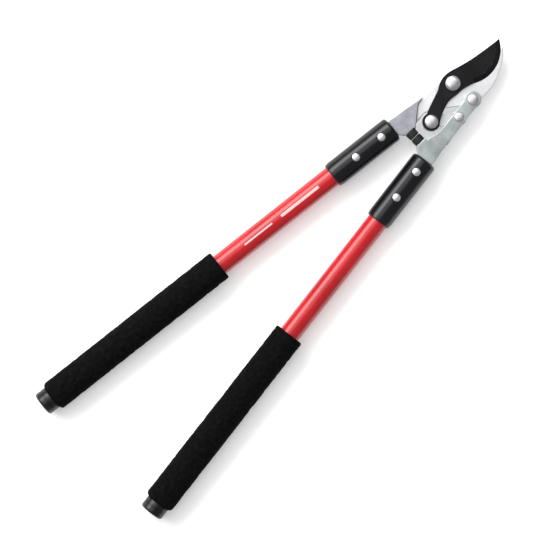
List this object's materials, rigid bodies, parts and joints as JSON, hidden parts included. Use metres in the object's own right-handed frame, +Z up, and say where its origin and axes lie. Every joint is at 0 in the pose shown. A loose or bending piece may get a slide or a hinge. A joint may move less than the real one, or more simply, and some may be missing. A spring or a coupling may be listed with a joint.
{
  "type": "bypass loppers",
  "caption": "Long-handled bypass loppers with a compound lever head: a curved blade sweeps past a fixed hook, driven through a link when the foam-gripped handles close.",
  "frame": {"origin": "on the ground under the middle of the whole tool, with the jaws shut and the tool lying flat on its foam grips", "axes": "+X along the centre line between the handles, towards the jaws; +Y towards the handle that carries the fixed hook; +Z up from the ground, square to the plane the handles open in"},
  "size_m": [0.6886, 0.212, 0.0368],
  "materials": {
    "forged_hook": "satin forged steel, bright plated",
    "forged_arm": "satin forged steel, bright plated",
    "link_steel": "stamped steel, satin",
    "blackened_blade": "black low-friction coating, satin, ground edge",
    "ferrule_nylon": "moulded nylon, semi-gloss",
    "insert_nylon": "moulded nylon",
    "cap_vinyl": "moulded vinyl, semi-gloss",
    "red_paint": "gloss enamel on steel tube",
    "grip_foam": "closed cell foam, matte",
    "bumper_rubber": "moulded rubber, matte",
    "rivet_zinc": "bright zinc plate",
    "bolt_zinc": "bright zinc plate, polished",
    "nut_zinc": "bright zinc plate",
    "bushing_bronze": "oiled sintered bronze"
  },
  "bodies": {
    "hook_side": {"hook_forging": "forged_hook", "left_ferrule": "ferrule_nylon", "left_rivets": "rivet_zinc", "left_tang_insert": "insert_nylon", "left_tube": "red_paint", "left_grip": "grip_foam", "left_end_cap": "cap_vinyl", "left_bumper": "bumper_rubber", "left_bumper_screw": "bolt_zinc", "main_pivot_bolt": "bolt_zinc", "main_pivot_washer": "bolt_zinc", "main_pivot_nut": "nut_zinc", "arm_pivot_bolt": "bolt_zinc", "arm_pivot_nut": "nut_zinc"},
    "blade_body": {"blade": "blackened_blade", "pivot_bushing": "bushing_bronze", "tail_bolt": "bolt_zinc", "tail_nut": "nut_zinc"},
    "link_body": {"link": "link_steel"},
    "drive_side": {"drive_arm": "forged_arm", "right_ferrule": "ferrule_nylon", "right_rivets": "rivet_zinc", "right_tang_insert": "insert_nylon", "right_tube": "red_paint", "right_grip": "grip_foam", "right_end_cap": "cap_vinyl", "right_bumper": "bumper_rubber", "right_bumper_screw": "bolt_zinc", "link_pin": "bolt_zinc", "link_washer": "bolt_zinc", "link_nut": "nut_zinc"}
  },
  "joints": [
    {"name": "handle_pivot", "type": "hinge", "parent": "hook_side", "child": "drive_side", "pos_m": [0.27031, -0.0165, 0.0184], "axis": [0, 0, 1], "range_deg": [0, 65]},
    {"name": "blade_pivot", "type": "hinge", "parent": "hook_side", "child": "blade_body", "pos_m": [0.26731, 0.014, 0.0184], "axis": [0, 0, 1], "range_deg": [0, 34]},
    {"name": "link_pivot", "type": "hinge", "parent": "blade_body", "child": "link_body", "pos_m": [0.21731, 0, 0.0184], "axis": [0, 0, 1], "range_deg": [-28, 0]}
  ],
  "couplings": [
    {"joint": "blade_pivot", "follows": "handle_pivot", "ratio": 0.516},
    {"joint": "link_pivot", "follows": "handle_pivot", "ratio": -0.4165}
  ]
}
